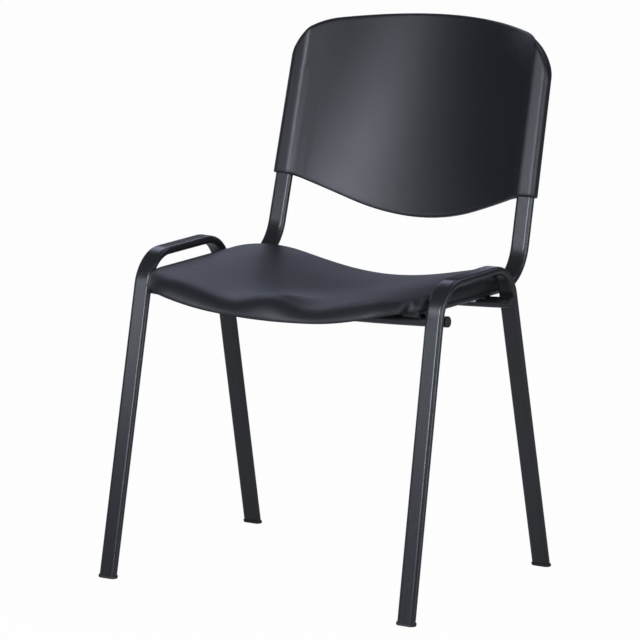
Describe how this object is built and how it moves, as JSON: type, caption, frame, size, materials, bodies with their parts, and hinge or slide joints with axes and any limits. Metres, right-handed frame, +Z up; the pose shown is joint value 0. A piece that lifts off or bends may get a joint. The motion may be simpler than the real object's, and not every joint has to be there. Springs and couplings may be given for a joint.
{
  "type": "visitor chair",
  "caption": "stacking visitor chair, bent flat-oval steel tube frame, dished plastic seat with a rolled front edge, hollow curved plastic back held on two uprights",
  "frame": {"origin": "on the floor, under the middle of the chair's box", "axes": "+Z up, the sitter faces -Y, +X is to the right as seen from the front"},
  "size_m": [0.554, 0.5872, 0.8108],
  "materials": {
    "frame": "satin",
    "shell": "satin",
    "trim": "matte",
    "fastener": "plated"
  },
  "bodies": {
    "root": {"left_leg_frame": "frame", "right_leg_frame": "frame", "left_back_upright": "frame", "right_back_upright": "frame", "front_cross_tube": "frame", "rear_cross_tube": "frame", "frame_welds": "frame", "seat_shell": "shell", "back_shell": "shell", "front_left_cross_plug": "trim", "front_right_cross_plug": "trim", "rear_left_cross_plug": "trim", "rear_right_cross_plug": "trim", "left_rail_plug": "trim", "right_rail_plug": "trim", "front_left_foot": "trim", "front_right_foot": "trim", "rear_left_foot": "trim", "rear_right_foot": "trim", "seat_screws": "fastener", "seat_washers": "fastener", "back_screws": "fastener"}
  },
  "joints": []
}
